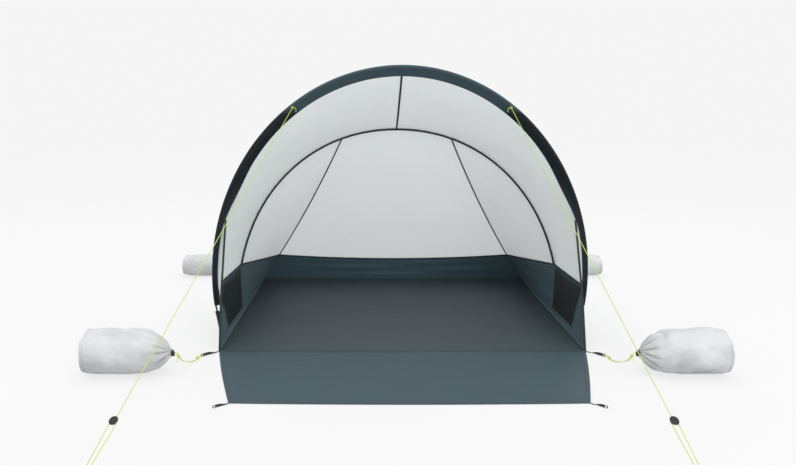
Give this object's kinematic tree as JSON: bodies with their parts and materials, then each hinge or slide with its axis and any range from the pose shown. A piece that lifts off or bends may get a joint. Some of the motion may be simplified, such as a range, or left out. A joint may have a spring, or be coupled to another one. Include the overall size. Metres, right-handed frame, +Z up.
{
  "type": "beach shelter",
  "caption": "Open-fronted fabric beach shelter on two bent poles, with a walled groundsheet, a front flap, guy lines, mesh pockets and sandbags tied to its floor corners.",
  "frame": {"origin": "middle of the groundsheet's underside, at ground level", "axes": "+Z up, the open front faces -Y, +X to the right seen from the front"},
  "size_m": [3.01, 3.0546, 1.3945],
  "materials": {
    "canopy_cloth": "thin coated polyester",
    "ground_cloth": "coated woven sheet",
    "sleeve_cloth": "matte polyester",
    "netting": "open mesh",
    "pole_glassfibre": "satin glass-fibre rod",
    "webbing": "woven tape",
    "lime_cord": "braided cord",
    "black_plastic": "moulded",
    "peg_steel": "drawn wire",
    "bag_cloth": "plain woven sack"
  },
  "bodies": {
    "root": {"cord_lock_front_left": "black_plastic", "cord_lock_front_right": "black_plastic", "cord_lock_rear_left": "black_plastic", "cord_lock_rear_right": "black_plastic", "corner_strap_front_left": "webbing", "corner_strap_front_right": "webbing", "corner_strap_rear_left": "webbing", "corner_strap_rear_right": "webbing", "flap_loop_left": "webbing", "flap_loop_right": "webbing", "front_flap": "ground_cloth", "front_pole": "pole_glassfibre", "front_sleeve": "sleeve_cloth", "groundsheet_floor": "ground_cloth", "guy_line_left": "lime_cord", "guy_line_right": "lime_cord", "guy_peg_left": "peg_steel", "guy_peg_right": "peg_steel", "guy_slider_left": "black_plastic", "guy_slider_right": "black_plastic", "guy_tab_left": "webbing", "guy_tab_right": "webbing", "net_pocket_left": "netting", "net_pocket_right": "netting", "pole_pockets_left": "webbing", "pole_pockets_right": "webbing", "rear_panel": "canopy_cloth", "rear_pole": "pole_glassfibre", "rear_side_panel_left": "canopy_cloth", "rear_side_panel_right": "canopy_cloth", "rear_sleeve": "sleeve_cloth", "rear_wall": "ground_cloth", "roof_panel_left": "canopy_cloth", "roof_panel_right": "canopy_cloth", "sandbag_cord_front_left": "lime_cord", "sandbag_cord_front_right": "lime_cord", "sandbag_cord_rear_left": "lime_cord", "sandbag_cord_rear_right": "lime_cord", "sandbag_front_left": "bag_cloth", "sandbag_front_right": "bag_cloth", "sandbag_rear_left": "bag_cloth", "sandbag_rear_right": "bag_cloth", "side_wall_left": "ground_cloth", "side_wall_right": "ground_cloth", "side_wing_left": "canopy_cloth", "side_wing_right": "canopy_cloth"}
  },
  "joints": []
}
